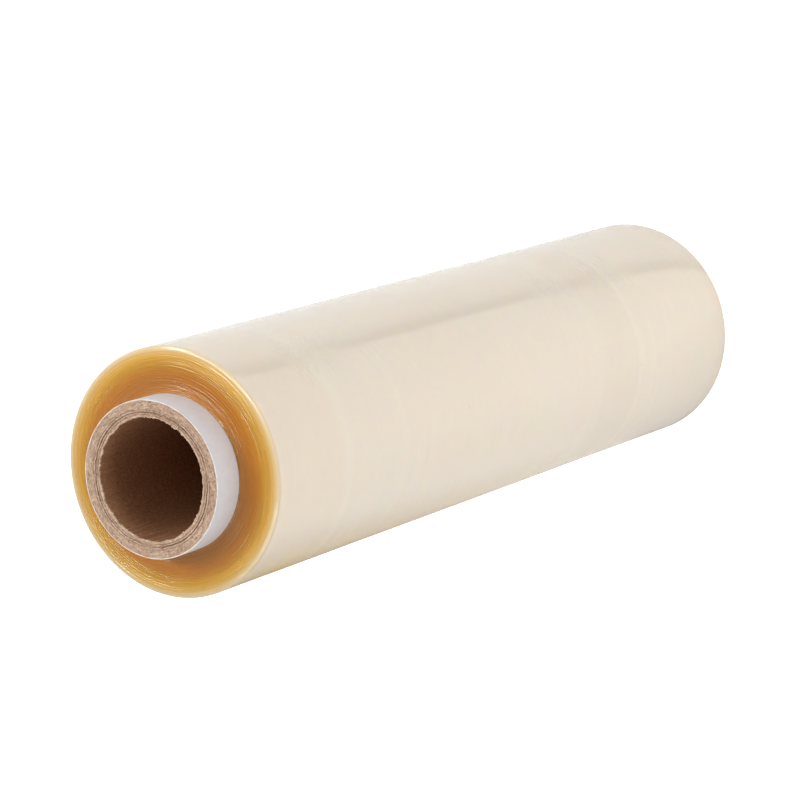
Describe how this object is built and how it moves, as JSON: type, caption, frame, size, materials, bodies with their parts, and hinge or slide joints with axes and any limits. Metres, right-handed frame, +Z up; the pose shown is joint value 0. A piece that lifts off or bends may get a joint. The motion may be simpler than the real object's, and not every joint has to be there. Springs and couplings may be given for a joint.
{
  "type": "roll of cling film",
  "caption": "Full roll of clear cream food film, wound tight on a white-faced brown board core that stands out a little at both ends.",
  "frame": {"origin": "on the roll's axis, at the lower end face of the core, which the roll stands on", "axes": "+Z up along the roll's axis, towards the end that the picture shows; X and Y are any two directions across it, because the roll is round"},
  "size_m": [0.0794, 0.0794, 0.323],
  "materials": {
    "film": "glossy clear film, cream in depth and amber at the ends",
    "board": "raw brown board, fibrous where it is cut",
    "paper": "plain white paper, matt"
  },
  "bodies": {
    "root": {"film_roll": "film", "core_board": "board", "core_paper": "paper"}
  },
  "joints": []
}
